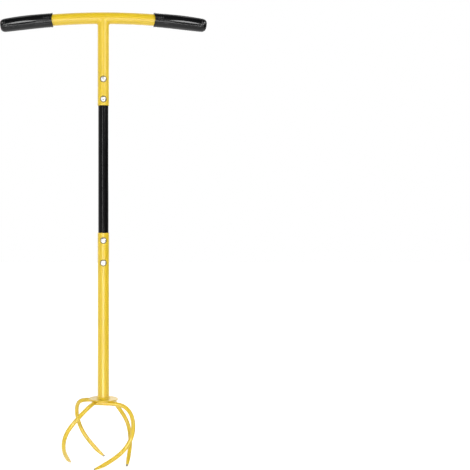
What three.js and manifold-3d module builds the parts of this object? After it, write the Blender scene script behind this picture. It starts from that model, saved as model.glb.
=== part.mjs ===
// Twist tiller: a two-handed cultivator with four twisted tines.
// Millimetres, Z up, X along the handlebar, and -Y the side with the screw heads.
// The origin is on the stem's axis, level with the tips of the tines.
import * as THREE from "three";
import { mergeVertices } from "three/addons/utils/BufferGeometryUtils.js";
import { NURBSCurve } from "three/addons/curves/NURBSCurve.js";
import Module from "manifold-3d";

const wasm = await Module();
wasm.setup();

// Tubes
const tubeDiameter = 25.4;
const tubeWall = 1.2;
const middleTubeDiameter = 22.6;
const middleTubeWall = 1.5;
const middleTubeShown = 279;
const middleTubeInsert = 82;
const lowerStemHeight = 363.5;
const upperStemHeight = 192.7;

// Handlebar and grips
const barBendRadius = 1480;
const handlebarSpan = 455;
const gripInset = 110.2;
const gripEndWall = 6;
const gripDiameter = 28.8;
const gripLipDiameter = 31.4;
const gripRingDiameter = 30.6;
const gripSwell = 0.55;
const gripLipLength = 4;
const gripRingPitch = 4.4;
const gripRingDepth = 0.8;
const gripRingCount = 4;
const gripPlainLength = 14;
const gripFlutesLength = 69;
const gripFluteDepth = 1.3;
const gripFluteCount = 12;
const gripDomeLength = 11;
const gripDimpleDiameter = 9;
const gripDimpleDepth = 0.8;
const gripMouthDip = 3;
const gripMouthLean = 0.8;

// Plate under the stem, and its welds
const plateDiameter = 64;
const plateThickness = 3;
const plateEdgeRadius = 1.2;
const stemWeldLeg = 3.5;
const barWeldRadius = 1.8;
const barWeldRise = 1;
const tineWeldRadius = 1.7;
const tineWeldLength = 26;

// Tines
const tineDiameter = 9;
const tineDrop = 143;
const tineRootOffset = 18.2;
const tinePointLength = 26;
const tinePointDiameter = 3.2;
const headTurn = THREE.MathUtils.degToRad(-8);

// Screws and nuts
const screwDiameter = 6;
const screwHeadDiameter = 11.4;
const screwHeadHeight = 3.4;
const screwHeadRimHeight = 0.7;
const screwSocketWidth = 4;
const screwSocketDepth = 2.2;
const screwTailShown = 1.6;
const screwChamfer = 0.6;
const nutWidth = 10;
const nutHeight = 4.6;
const nutCollarDiameter = 8.8;
const nutCollarHeight = 1.6;
const upperScrewDrops = [13.5, 57.4];
const lowerScrewDrops = [16.6, 65.6];

// Clearances
const fitGap = 0.2;
const weldGap = 0.15;
const rootGap = 0.5;
const screwHoleGap = 0.3;

// Facets
const tubeFacets = 32;
const barStations = 12;
const gripFacetsPerFlute = 3;
const tineFacets = 12;
const tineStations = 32;
const beadFacets = 8;
const beadStations = 40;
const screwFacets = 20;

const tubeRadius = tubeDiameter / 2;
const tubeBore = tubeRadius - tubeWall;
const middleTubeRadius = middleTubeDiameter / 2;
const tineRadius = tineDiameter / 2;
const plateBottom = tineDrop;
const plateTop = plateBottom + plateThickness;
const lowerStemTop = plateTop + lowerStemHeight;
const upperStemBottom = lowerStemTop + middleTubeShown;
const barHeight = upperStemBottom + upperStemHeight;
const barHalfLength = handlebarSpan / 2 - gripEndWall - fitGap;

const paint = (color, roughness, metalness) =>
  new THREE.MeshStandardMaterial({ color, roughness, metalness });
const yellowPaint = paint(0xf0cd1e, 0.35, 0.1);
const blackPaint = paint(0x17171a, 0.35, 0.1);
const gripPlastic = paint(0x26282b, 0.5, 0);
const brightSteel = paint(0xd2d4d6, 0.25, 1);

const part = new THREE.Group();
part.name = "twist_tiller";

// A geometry as one closed solid, from its positions and faces alone.
function solid(geometry) {
  const bare = geometry.clone();
  bare.deleteAttribute("normal");
  bare.deleteAttribute("uv");
  const joined = mergeVertices(bare, 1e-4);
  return new wasm.Manifold(
    new wasm.Mesh({
      numProp: 3,
      vertProperties: new Float32Array(joined.attributes.position.array),
      triVerts: new Uint32Array(joined.index.array),
    }),
  );
}

function geometryOf(body) {
  const mesh = body.getMesh();
  const stride = mesh.numProp;
  const positions = new Float32Array(mesh.numVert * 3);
  for (let i = 0; i < mesh.numVert; i++) {
    const vertex = mesh.vertProperties.subarray(i * stride, i * stride + 3);
    positions.set(vertex, i * 3);
  }
  const geometry = new THREE.BufferGeometry();
  geometry.setAttribute("position", new THREE.BufferAttribute(positions, 3));
  geometry.setIndex(new THREE.BufferAttribute(mesh.triVerts, 1));
  return geometry;
}

function addPart(name, body, material) {
  const geometry = geometryOf(body);
  geometry.computeVertexNormals();
  const mesh = new THREE.Mesh(geometry, material);
  mesh.name = name;
  part.add(mesh);
}

// A profile of [radius, height] pairs turned about Z.
function turned(profile, facets) {
  const points = profile.map(([radius, height]) => new THREE.Vector2(radius, height));
  const geometry = new THREE.LatheGeometry(points, facets);
  geometry.rotateX(Math.PI / 2);
  return geometry;
}

function tube(outerRadius, innerRadius, bottom, top) {
  const profile = [
    [innerRadius, bottom],
    [outerRadius, bottom],
    [outerRadius, top],
    [innerRadius, top],
    [innerRadius, bottom],
  ];
  return solid(turned(profile, tubeFacets));
}

function rod(radius, bottom, top, facets) {
  const profile = [
    [0, bottom],
    [radius, bottom],
    [radius, top],
    [0, top],
  ];
  return solid(turned(profile, facets));
}

// The handlebar is an arc that sags towards its ends: a straight shape lying
// along X is wrapped round that arc.
function bentAlongBar(geometry) {
  const position = geometry.attributes.position;
  for (let i = 0; i < position.count; i++) {
    const angle = position.getX(i) / barBendRadius;
    const reach = barBendRadius + position.getZ(i);
    const x = reach * Math.sin(angle);
    const z = barHeight - barBendRadius + reach * Math.cos(angle);
    position.setXYZ(i, x, position.getY(i), z);
  }
  return geometry;
}

// A profile of [radius, distance along the bar] pairs turned about X.
function turnedAlongBar(profile, facets) {
  const geometry = turned(profile, facets);
  geometry.rotateY(Math.PI / 2);
  return geometry;
}

function barProfile(outerRadius, innerRadius, halfLength) {
  const profile = [[innerRadius, -halfLength]];
  const step = (2 * halfLength) / barStations;
  for (let i = 0; i <= barStations; i++)
    profile.push([outerRadius, -halfLength + i * step]);
  for (let i = barStations; i >= 0; i--)
    profile.push([innerRadius, -halfLength + i * step]);
  return profile;
}

function bentBar(outerRadius, innerRadius, halfLength) {
  const profile = barProfile(outerRadius, innerRadius, halfLength);
  return solid(bentAlongBar(turnedAlongBar(profile, tubeFacets)));
}

// A round section carried along a path. Each station is a centre, two axes
// across the path and a radius; an open path is closed by its end discs.
function sweptRound(stations, facets, closed) {
  const positions = [];
  const faces = [];
  const rings = stations.length;
  for (const { centre, across, up, radius } of stations)
    for (let j = 0; j < facets; j++) {
      const angle = (2 * Math.PI * j) / facets;
      const point = centre
        .clone()
        .addScaledVector(across, radius * Math.cos(angle))
        .addScaledVector(up, radius * Math.sin(angle));
      positions.push(point.x, point.y, point.z);
    }
  const spans = closed ? rings : rings - 1;
  for (let i = 0; i < spans; i++)
    for (let j = 0; j < facets; j++) {
      const here = i * facets;
      const next = ((i + 1) % rings) * facets;
      const k = (j + 1) % facets;
      faces.push(here + j, here + k, next + k);
      faces.push(here + j, next + k, next + j);
    }
  if (!closed) {
    const last = (rings - 1) * facets;
    for (let j = 1; j < facets - 1; j++) {
      faces.push(0, j + 1, j);
      faces.push(last, last + j, last + j + 1);
    }
  }
  const geometry = new THREE.BufferGeometry();
  geometry.setAttribute("position", new THREE.Float32BufferAttribute(positions, 3));
  geometry.setIndex(faces);
  return solid(geometry);
}

// Screw holes run through the tubes along Y.
function alongY(body) {
  return body.rotate([-90, 0, 0]);
}

const upperScrewHeights = upperScrewDrops.map((drop) => upperStemBottom + drop);
const lowerScrewHeights = lowerScrewDrops.map((drop) => lowerStemTop - drop);

function drilled(body, heights) {
  const hole = alongY(
    rod(screwDiameter / 2 + screwHoleGap, -tubeDiameter, tubeDiameter, screwFacets),
  );
  let result = body;
  for (const height of heights) result = result.subtract(hole.translate([0, 0, height]));
  return result;
}

// Handlebar
addPart("crossbar", bentBar(tubeRadius, tubeBore, barHalfLength), yellowPaint);

// Handle stem, coped to the handlebar
const barEnvelope = bentBar(tubeRadius + weldGap, 0, 2 * tubeDiameter);
const handleStem = tube(tubeRadius, tubeBore, upperStemBottom, barHeight);
addPart(
  "handle_stem",
  drilled(handleStem, upperScrewHeights).subtract(barEnvelope),
  yellowPaint,
);

// The bead follows the saddle line where the stem meets the handlebar.
function barWeld() {
  const stations = [];
  const saddleRadius = tubeRadius + barWeldRise;
  for (let i = 0; i < beadStations; i++) {
    const angle = (2 * Math.PI * i) / beadStations;
    const x = tubeRadius * Math.cos(angle);
    const y = tubeRadius * Math.sin(angle);
    const z = barHeight - Math.sqrt(saddleRadius ** 2 - y ** 2);
    const across = new THREE.Vector3(0, 0, 1);
    const up = new THREE.Vector3(Math.cos(angle), Math.sin(angle), 0);
    const centre = new THREE.Vector3(x, y, z);
    stations.push({ centre, across, up, radius: barWeldRadius });
  }
  const stemTop = barHeight + tubeDiameter;
  const stemEnvelope = rod(tubeRadius + weldGap, upperStemBottom, stemTop, tubeFacets);
  return sweptRound(stations, beadFacets, true)
    .subtract(stemEnvelope)
    .subtract(barEnvelope);
}
addPart("crossbar_weld", barWeld(), yellowPaint);

// Grips
const gripLength = handlebarSpan / 2 - gripInset;

// Where a ring and its groove lie in one pitch, and the lip in its length.
const ringStartShare = 0.1;
const ringEndShare = 0.4;
const grooveShare = 0.7;
const lipStartShare = 0.2;
const lipEndShare = 0.7;
const gripDimpleFloorShare = 0.7;
const gripDomePower = 0.8;

// Outline of a grip from its domed end to its mouth and back down its bore.
// Distances run from the mouth towards the end.
function gripProfile() {
  const outer = gripDiameter / 2;
  const lip = gripLipDiameter / 2;
  const ring = gripRingDiameter / 2;
  const bore = tubeRadius + fitGap;
  const boreEnd = gripLength - gripEndWall;
  const ringsStart = gripLipLength;
  const plainStart = ringsStart + gripRingCount * gripRingPitch;
  const flutesStart = plainStart + gripPlainLength;
  const flutesEnd = flutesStart + gripFlutesLength;
  const domeStart = gripLength - gripDomeLength;
  const dimple = gripDimpleDiameter / 2;
  const points = [
    [0, gripLength - gripDimpleDepth],
    [dimple * gripDimpleFloorShare, gripLength - gripDimpleDepth],
    [dimple, gripLength],
  ];
  const domeSteps = 5;
  for (let i = 1; i <= domeSteps; i++) {
    const angle = (Math.PI / 2) * (i / domeSteps);
    const radius = dimple + (outer - dimple) * Math.sin(angle) ** gripDomePower;
    points.push([radius, domeStart + gripDomeLength * Math.cos(angle)]);
  }
  const fluteSteps = 6;
  for (let i = 0; i <= fluteSteps; i++) {
    const share = i / fluteSteps;
    const slim = outer + (ring - outer) * share;
    const swell = gripSwell * Math.sin(Math.PI * share);
    points.push([slim + swell, flutesEnd - gripFlutesLength * share]);
  }
  points.push([ring, flutesStart - gripPlainLength / 4]);
  points.push([ring, plainStart]);
  for (let i = gripRingCount - 1; i >= 0; i--) {
    const start = ringsStart + i * gripRingPitch;
    points.push([ring - gripRingDepth, start + gripRingPitch * grooveShare]);
    points.push([ring, start + gripRingPitch * ringEndShare]);
    points.push([ring, start + gripRingPitch * ringStartShare]);
  }
  points.push([lip, gripLipLength * lipEndShare]);
  points.push([lip, gripLipLength * lipStartShare]);
  points.push([lip - gripRingDepth, 0]);
  const boreSteps = 5;
  for (let i = 0; i <= boreSteps; i++) points.push([bore, (boreEnd * i) / boreSteps]);
  points.push([0, boreEnd]);
  points.reverse();
  return { points, flutesStart, flutesEnd, ringsEnd: plainStart };
}

// Shallow scallops run along the outside; they fade in and out at both ends.
function fluteDepthAt(distance, start, end) {
  const share = (distance - start) / (end - start);
  if (share <= 0 || share >= 1) return 0;
  return gripFluteDepth * Math.sqrt(Math.sin(Math.PI * share));
}

// The mouth is cut like a saddle: its front and back lie deeper than its top
// and bottom. It also leans, with its top nearer to the stem than its bottom.
// The rings follow it less and less.
function grip(side) {
  const { points, flutesStart, flutesEnd, ringsEnd } = gripProfile();
  const profile = points.map(([radius, distance]) => [radius, gripInset + distance]);
  const facets = gripFluteCount * gripFacetsPerFlute;
  const geometry = turnedAlongBar(profile, facets);
  const position = geometry.attributes.position;
  for (let i = 0; i < position.count; i++) {
    const y = position.getY(i);
    const z = position.getZ(i);
    const radius = Math.hypot(y, z);
    const angle = Math.atan2(z, y);
    const distance = position.getX(i) - gripInset;
    const nearMouth = Math.max(0, 1 - distance / ringsEnd);
    const dip = gripMouthDip * Math.cos(angle) ** 2;
    const lean = gripMouthLean * Math.sin(angle);
    const x = position.getX(i) + nearMouth * (dip - lean);
    position.setX(i, x);
    if (radius < tubeRadius + 2 * fitGap) continue;
    const wave = (1 + Math.cos(gripFluteCount * angle)) / 2;
    const depth = wave * fluteDepthAt(distance, flutesStart, flutesEnd);
    const scale = (radius - depth) / radius;
    position.setXYZ(i, x, y * scale, z * scale);
  }
  const body = solid(bentAlongBar(geometry));
  return side > 0 ? body : body.mirror([1, 0, 0]);
}
addPart("grip_left", grip(-1), gripPlastic);
addPart("grip_right", grip(1), gripPlastic);

// Middle tube, inside both stems
const middleTube = tube(
  middleTubeRadius,
  middleTubeRadius - middleTubeWall,
  lowerStemTop - middleTubeInsert,
  upperStemBottom + middleTubeInsert,
);
addPart(
  "middle_tube",
  drilled(middleTube, [...upperScrewHeights, ...lowerScrewHeights]),
  blackPaint,
);

// Lower stem, plate and the weld between them
const lowerStem = tube(tubeRadius, tubeBore, plateTop + weldGap, lowerStemTop);
addPart("lower_stem", drilled(lowerStem, lowerScrewHeights), yellowPaint);

const plateRadius = plateDiameter / 2;

// The rim turns through a quarter circle at the bottom and one at the top.
function plateProfile() {
  const points = [[0, plateBottom]];
  const steps = 2;
  for (const middle of [plateBottom + plateEdgeRadius, plateTop - plateEdgeRadius])
    for (let i = 0; i <= steps; i++) {
      const start = middle < (plateBottom + plateTop) / 2 ? -Math.PI / 2 : 0;
      const angle = start + (Math.PI / 2) * (i / steps);
      const radius = plateRadius - plateEdgeRadius * (1 - Math.cos(angle));
      points.push([radius, middle + plateEdgeRadius * Math.sin(angle)]);
    }
  points.push([0, plateTop]);
  return points;
}
addPart("tine_plate", solid(turned(plateProfile(), 2 * tubeFacets)), yellowPaint);

// The outline of the weld in shares of its leg: outwards and up from the corner.
const stemWeldShares = [
  [0, 0],
  [1, 0],
  [0.8, 0.25],
  [0.45, 0.6],
  [0.15, 1],
  [0, 1],
  [0, 0],
];
const stemWeldProfile = stemWeldShares.map(([out, up]) => [
  tubeRadius + weldGap + out * stemWeldLeg,
  plateTop + weldGap + up * stemWeldLeg,
]);
addPart("stem_weld", solid(turned(stemWeldProfile, tubeFacets)), yellowPaint);

// A tine starts flat under the plate, square to its neighbours, runs straight
// out past the rim, curls down and sideways, and comes back in to its point.
// Each row gives a control point's shares of the drop: out along the root,
// towards the side it twists to, and down from the root.
const tineShares = [
  [0.03, 0, 0],
  [0.18, 0, 0],
  [0.335, 0, 0.02],
  [0.452, 0.07, 0.144],
  [0.491, 0.206, 0.34],
  [0.446, 0.265, 0.562],
  [0.273, 0.261, 0.786],
  [-0.047, 0.216, 1],
];
// The tines are bent by hand, so each strays a little from that shape. Its
// point and its belly have their own shifts, as the same three shares.
const tineStrayShares = [
  { point: [-0.045, 0, 0], belly: [0.04, 0, 0.01] },
  { point: [0.01, 0.177, 0], belly: [0.01, 0.05, 0.01] },
  { point: [0.08, -0.035, -0.04], belly: [-0.052, 0.01, -0.092] },
  { point: [-0.015, 0.025, 0], belly: [-0.01, -0.04, 0.03] },
];
const pointLeanShare = 0.7;
const rootHeight = plateBottom - weldGap - tineRadius;
const rootStart = tineRadius + rootGap - tineRootOffset;

function tineCurve(stray) {
  const controls = [new THREE.Vector4(rootStart, -tineRootOffset, rootHeight, 1)];
  const straightRows = 2;
  const rampSteps = tineShares.length - straightRows;
  tineShares.forEach((shares, i) => {
    const ramp = Math.max(0, (i + 1 - straightRows) / rampSteps);
    const bulge = Math.sin(Math.PI * ramp);
    const [out, side, down] = shares.map(
      (share, k) => share + ramp * stray.point[k] + bulge * stray.belly[k],
    );
    const x = out * tineDrop;
    const y = -tineRootOffset - side * tineDrop;
    const z = rootHeight * (1 - Math.max(0, down));
    controls.push(new THREE.Vector4(x, y, z, 1));
  });
  const degree = 3;
  const spans = controls.length - degree;
  const knots = new Array(degree).fill(0);
  for (let i = 0; i <= spans; i++) knots.push(i / spans);
  knots.push(...new Array(degree).fill(1));
  return new NURBSCurve(degree, knots, controls);
}

// The rod is ground to a point from its lower side, so the upper side of the
// curl stays straight.
function tine(stray, growth) {
  const curve = tineCurve(stray);
  const length = curve.getLength();
  const frames = curve.computeFrenetFrames(tineStations, false);
  const pointRadius = tinePointDiameter / 2;
  const stations = [];
  for (let i = 0; i <= tineStations; i++) {
    const share = i / tineStations;
    const left = (1 - share) * length;
    const taper = Math.min(1, left / tinePointLength);
    const radius = THREE.MathUtils.lerp(pointRadius, tineRadius, taper);
    const across = frames.normals[i];
    const up = frames.binormals[i];
    const upper = new THREE.Vector3(0, 0, 1);
    upper.addScaledVector(frames.tangents[i], -frames.tangents[i].z).normalize();
    const centre = curve.getPointAt(share);
    if (taper < 1) centre.addScaledVector(upper, (tineRadius - radius) * pointLeanShare);
    stations.push({ centre, across, up, radius: radius + growth });
  }
  return sweptRound(stations, tineFacets, false);
}

// A bead fills the corner between a root and the plate on the outer side. It
// is full along its middle and runs out at both ends.
const beadSeatShare = 0.8;
const beadEndShare = 0.08;
const beadFadePower = 0.3;

function tineWeld(stray) {
  const stations = [];
  const axis = new THREE.Vector3(1, 0, 0);
  const start = new THREE.Vector3(rootStart + tineWeldRadius, 0, 0);
  const beadCentre = new THREE.Vector3(
    0,
    -tineRootOffset - tineRadius * beadSeatShare,
    plateBottom - weldGap - tineWeldRadius * beadSeatShare,
  );
  const steps = 8;
  for (let i = 0; i <= steps; i++) {
    const share = i / steps;
    const along = THREE.MathUtils.clamp(share, beadEndShare, 1 - beadEndShare);
    const fade = Math.sin(Math.PI * along) ** beadFadePower;
    const centre = start.clone().addScaledVector(axis, tineWeldLength * share);
    centre.add(beadCentre);
    stations.push({
      centre,
      across: new THREE.Vector3(0, 1, 0),
      up: new THREE.Vector3(0, 0, 1),
      radius: tineWeldRadius * fade,
    });
  }
  const plateEnvelope = rod(
    plateRadius + weldGap,
    plateBottom - weldGap,
    plateTop + weldGap,
    2 * tubeFacets,
  );
  return sweptRound(stations, beadFacets, false)
    .subtract(tine(stray, weldGap))
    .subtract(plateEnvelope);
}

const quarterTurn = 90;
const headTurnDegrees = THREE.MathUtils.radToDeg(headTurn);
tineStrayShares.forEach((stray, i) => {
  const turn = [0, 0, headTurnDegrees - quarterTurn * i];
  addPart(`tine_${i + 1}`, tine(stray, 0).rotate(turn), yellowPaint);
  addPart(`tine_weld_${i + 1}`, tineWeld(stray).rotate(turn), yellowPaint);
});

// Screws with domed heads and hexagon sockets; the nuts are behind the stem.
function hexagon(width, bottom, top) {
  const radius = width / Math.sqrt(3);
  return rod(radius, bottom, top, 6);
}

const headSeat = tubeRadius + fitGap;
const nutTop = headSeat + nutHeight + nutCollarHeight;

function screw() {
  const headRadius = screwHeadDiameter / 2;
  const shankRadius = screwDiameter / 2;
  const tail = nutTop + screwTailShown;
  const profile = [[0, -headSeat - screwHeadHeight]];
  const domeSteps = 5;
  const domeHeight = screwHeadHeight - screwHeadRimHeight;
  for (let i = 1; i <= domeSteps; i++) {
    const angle = (Math.PI / 2) * (i / domeSteps);
    const radius = headRadius * Math.sin(angle);
    const height = -headSeat - screwHeadRimHeight - domeHeight * Math.cos(angle);
    profile.push([radius, height]);
  }
  profile.push([headRadius, -headSeat]);
  profile.push([shankRadius, -headSeat]);
  profile.push([shankRadius, tail - screwChamfer]);
  profile.push([shankRadius - screwChamfer, tail]);
  profile.push([0, tail]);
  const socketTop = -headSeat - screwHeadHeight + screwSocketDepth;
  const socket = hexagon(screwSocketWidth, socketTop - screwHeadDiameter, socketTop);
  return alongY(solid(turned(profile, screwFacets)).subtract(socket));
}

function nut() {
  const bore = rod(screwDiameter / 2 + fitGap, 0, 2 * nutTop, screwFacets);
  const hexTop = headSeat + nutHeight;
  const collar = rod(nutCollarDiameter / 2, hexTop - fitGap, nutTop, screwFacets);
  return alongY(hexagon(nutWidth, headSeat, hexTop).add(collar).subtract(bore));
}

const screwHeights = [...upperScrewHeights, ...lowerScrewHeights];
screwHeights.forEach((height, i) => {
  const lift = [0, 0, height];
  addPart(`screw_${i + 1}`, screw().translate(lift), brightSteel);
  addPart(`nut_${i + 1}`, nut().translate(lift), brightSteel);
});

export default part;
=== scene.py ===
import math
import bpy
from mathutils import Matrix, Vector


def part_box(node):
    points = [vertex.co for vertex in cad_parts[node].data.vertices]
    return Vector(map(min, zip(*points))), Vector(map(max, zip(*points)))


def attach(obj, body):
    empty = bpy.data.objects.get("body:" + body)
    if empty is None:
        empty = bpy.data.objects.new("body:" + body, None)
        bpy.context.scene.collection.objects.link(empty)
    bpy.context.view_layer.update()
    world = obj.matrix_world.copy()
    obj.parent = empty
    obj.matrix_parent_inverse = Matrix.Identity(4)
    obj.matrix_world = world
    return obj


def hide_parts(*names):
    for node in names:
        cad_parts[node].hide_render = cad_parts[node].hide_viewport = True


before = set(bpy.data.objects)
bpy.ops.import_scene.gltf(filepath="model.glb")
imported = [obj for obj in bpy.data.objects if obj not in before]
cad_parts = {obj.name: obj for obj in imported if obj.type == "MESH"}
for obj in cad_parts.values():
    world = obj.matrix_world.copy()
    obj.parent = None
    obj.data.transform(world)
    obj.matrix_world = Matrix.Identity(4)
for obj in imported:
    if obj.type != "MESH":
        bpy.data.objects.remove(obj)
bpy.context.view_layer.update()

from types import SimpleNamespace

import bpy
import numpy as np

mm = 0.001
fullTurn = 2 * math.pi
quarterTurn = math.pi / 2
frontAngle = math.pi * 1.5  # the angle about a turning axis that faces the camera
tiny = 1e-9


def named(values):
    # A dictionary whose values are read as shape.radius.
    return SimpleNamespace(**values)


def stacked(*parts):
    # Arrays side by side along a new last axis.
    return np.stack(parts, axis=-1)


def addObject(name, data):
    thing = bpy.data.objects.new(name, data)
    bpy.context.scene.collection.objects.link(thing)
    return thing


# Camera, level and square to the tool; the shift leaves the right half of the picture empty
cameraSetup = named({
    "place": (0.0, -2.0, 0.5419),
    "lens": {"lens": 69.7, "sensor_width": 36.0, "shift_x": 0.28, "shift_y": -0.036},
})


def addCamera(setup):
    data = bpy.data.cameras.new("photoCamera")
    for key, value in setup.lens.items():
        setattr(data, key, value)
    camera = addObject("photoCamera", data)
    camera.location = setup.place
    camera.rotation_euler = (quarterTurn, 0, 0)
    bpy.context.scene.camera = camera


addCamera(cameraSetup)
print("camera placed")


# Surfaces on grids


def anglesAround(columns):
    # Even steps round a full turn, from 0 to one step before its end.
    return np.linspace(0, fullTurn, columns, endpoint=False)


def shareBetween(low, high, value):
    # 0 at low and before, 1 at high and beyond, and on a straight line between them.
    return np.clip((value - low) / (high - low), 0, 1)


def smoothStep(low, high, value):
    # 3 t squared less 2 t cubed, where t is the straight share between low and high.
    t = shareBetween(low, high, value)
    return t * t * (3 - 2 * t)


def unit(vectors):
    # Each row over its own length.
    return vectors / np.linalg.norm(vectors, axis=1, keepdims=True)


def curveOfThree(first, middle, last, t):
    # The weights of the three points are (1 - t) squared, 2 t (1 - t) and t squared.
    return first * (1 - t) ** 2 + middle * 2 * t * (1 - t) + last * t**2


def softCorners(corners, radius, steps):
    # Each corner of a closed outline becomes a curve of three points: the corner and its two
    # neighbours on the sides. Returns the outline, and a mask that is 1 in the middle of a curve.
    corners = np.array(corners)
    first, last = (
        corners + unit(np.roll(corners, shift, axis=0) - corners) * radius for shift in (1, -1)
    )
    t = np.linspace(0, 1, steps)[None, :, None]
    curve = curveOfThree(first[:, None], corners[:, None], last[:, None], t)
    mask = np.broadcast_to(4 * t * (1 - t), curve.shape[:2] + (1,))
    return curve.reshape(-1, 2), mask.reshape(-1)


def turned(radius, height, columns):
    # Radius and height of each row, and of each column too where they are grids, turned about Z.
    angle = anglesAround(columns)[None, :]
    radius, height = (np.reshape(x, (len(x), -1)) for x in (radius, height))
    height = np.broadcast_to(height, (len(radius), columns))
    return stacked(radius * np.cos(angle), radius * np.sin(angle), height)


def ringFaces(rows, columns, closedRows):
    # A four-cornered face between each pair of neighbouring rows and columns. The columns close
    # into a ring, and the rows do too where closedRows says so.
    spans = rows if closedRows else rows - 1
    row, column = np.meshgrid(np.arange(spans), np.arange(columns), indexing="ij")
    nextRow = (row + 1) % rows
    nextColumn = (column + 1) % columns
    return stacked(
        row * columns + column,
        row * columns + nextColumn,
        nextRow * columns + nextColumn,
        nextRow * columns + column,
    ).reshape(-1, 4)


def signedVolume(points, faces):
    # The sum over triangles of corner one dotted with the cross product of the other two, over six.
    total = 0.0
    for second in range(1, faces.shape[1] - 1):
        a, b, c = points[faces[:, 0]], points[faces[:, second]], points[faces[:, second + 1]]
        total += np.einsum("ij,ij->", a, np.cross(b, c)) / 6
    return total


def addSurface(node, ending, grid, finish, poles=False, masks=None, sharpDegrees=None):
    # The grid holds one point for each row and column. With poles, the first and last rows close
    # onto their own middle points; without them the last row joins the first. The masks edge,
    # bare and painted shade have the same grid. A volume below zero means that the faces point
    # inwards.
    rows, columns = grid.shape[:2]
    points = grid.reshape(-1, 3)
    quads = ringFaces(rows, columns, not poles)
    triangles = np.empty((0, 3), int)
    if poles:
        points = np.vstack([points, grid[0].mean(axis=0), grid[-1].mean(axis=0)])
        around = np.arange(columns)
        after = (around + 1) % columns
        last = (rows - 1) * columns
        start = stacked(np.full(columns, rows * columns), after, around)
        end = stacked(np.full(columns, rows * columns + 1), last + around, last + after)
        triangles = np.vstack([start, end])
    if signedVolume(points, quads) + signedVolume(points, triangles) < 0:
        quads, triangles = quads[:, ::-1], triangles[:, ::-1]
    name = f"{node}_{ending}"
    mesh = bpy.data.meshes.new(name)
    mesh.from_pydata(points.tolist(), [], quads.tolist() + triangles.tolist())
    for label in ("edge", "bare", "paintedShade"):
        values = np.broadcast_to((masks or {}).get(label, 0.0), (rows, columns))
        flat = values.ravel()
        if poles:
            flat = np.concatenate([flat, [values[0].mean(), values[-1].mean()]])
        layer = mesh.attributes.new(label, "FLOAT", "POINT")
        layer.data.foreach_set("value", np.asarray(flat, np.float32))
    mesh.polygons.foreach_set("use_smooth", np.ones(len(mesh.polygons), bool))
    if sharpDegrees is not None:
        mesh.set_sharp_from_angle(angle=math.radians(sharpDegrees))
    mesh.update()
    piece = addObject(name, mesh)
    mesh.materials.append(finishes[finish])
    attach(piece, "root")
    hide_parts(node)


# Materials


def feed(tree, sockets, values):
    # A socket is linked in, a colour of three numbers gets its alpha, and a number is set.
    for key, value in values.items():
        if isinstance(value, bpy.types.NodeSocket):
            tree.links.new(value, sockets[key])
        else:
            sockets[key].default_value = (*value, 1) if isinstance(value, tuple) else value


def addNode(tree, kind, settings=None, values=None):
    node = tree.nodes.new(kind)
    for key, value in (settings or {}).items():
        setattr(node, key, value)
    feed(tree, node.inputs, values or {})
    return node


def newGroup(name, colours, numbers, outputs):
    # An effect with named inputs and outputs. The output Colour is a colour, the others numbers.
    tree = bpy.data.node_groups.new(name, "ShaderNodeTree")
    sockets = [(label, "INPUT", "Color") for label in colours]
    sockets += [(label, "INPUT", "Float") for label in numbers]
    sockets += [(label, "OUTPUT", "Color" if label == "Colour" else "Float") for label in outputs]
    for label, way, kind in sockets:
        tree.interface.new_socket(name=label, in_out=way, socket_type="NodeSocket" + kind)
    return tree, tree.nodes.new("NodeGroupInput").outputs, tree.nodes.new("NodeGroupOutput").inputs


def objectPlace(tree):
    return addNode(tree, "ShaderNodeTexCoord").outputs["Object"]


def meshMasks(tree, *labels):
    kind = "ShaderNodeAttribute"
    return [addNode(tree, kind, {"attribute_name": label}).outputs["Fac"] for label in labels]


def noises(tree, detail, *labels):
    # For each label, the width of a patch in metres, the detail and the roughness.
    place = objectPlace(tree)
    made = []
    for label in labels:
        size, level, rough = getattr(detail, label)
        values = {"Vector": place, "Scale": 1 / size, "Detail": level, "Roughness": rough}
        made.append(addNode(tree, "ShaderNodeTexNoise", None, values).outputs["Fac"])
    return made


def ramp(tree, value, low, high, toLow=0.0, toHigh=1.0):
    # From toLow where the value is low or less to toHigh where it is high or more.
    values = {"Value": value, "From Min": low, "From Max": high, "To Min": toLow, "To Max": toHigh}
    return addNode(tree, "ShaderNodeMapRange", {"clamp": True}, values).outputs["Result"]


def maths(tree, operation, first, second):
    values = {0: first, 1: second}
    return addNode(tree, "ShaderNodeMath", {"operation": operation}, values).outputs[0]


def times(tree, first, second):
    return maths(tree, "MULTIPLY", first, second)


def blend(tree, share, first, second):
    values = {0: share, 6: first, 7: second}
    return addNode(tree, "ShaderNodeMix", {"data_type": "RGBA"}, values).outputs[2]


# In the three effects, a noise has the width of its patches, its detail and its roughness, and a
# range has the values that a ramp starts and ends at.
coatDetail = named({
    "slow": (60 * mm, 3.0, 0.5),
    "patches": (9 * mm, 4.0, 0.6),
    "grit": (1.6 * mm, 5.0, 0.65),
    "peel": (1.1 * mm, 1.5, 0.5),
    "fine": (0.35 * mm, 2.0, 0.5),
    "toneRange": (0.35, 0.7),
    "edgeRange": (0.3, 0.65),
    "edgeWear": (0.25, 0.8),
    # painted shade round the screws: a ramp over the grit and the share it darkens
    "grimeRange": (0.3, 0.6),
    "grimeCover": (0.7, 1.0),
    "bareStray": 0.9,  # how far the grit moves the border of bare steel
    "bareRange": (0.42, 0.62),
    "bareStart": (0.02, 0.1),
    "glossRange": (0.3, 0.7),
    "bareRoughness": 0.2,  # added to the paint's
    "grimeRoughness": 0.25,
    "bareMetal": 0.75,
    "fineHeight": 0.25,  # as a share of the orange peel's
    "filmHeight": 0.6,
})


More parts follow.
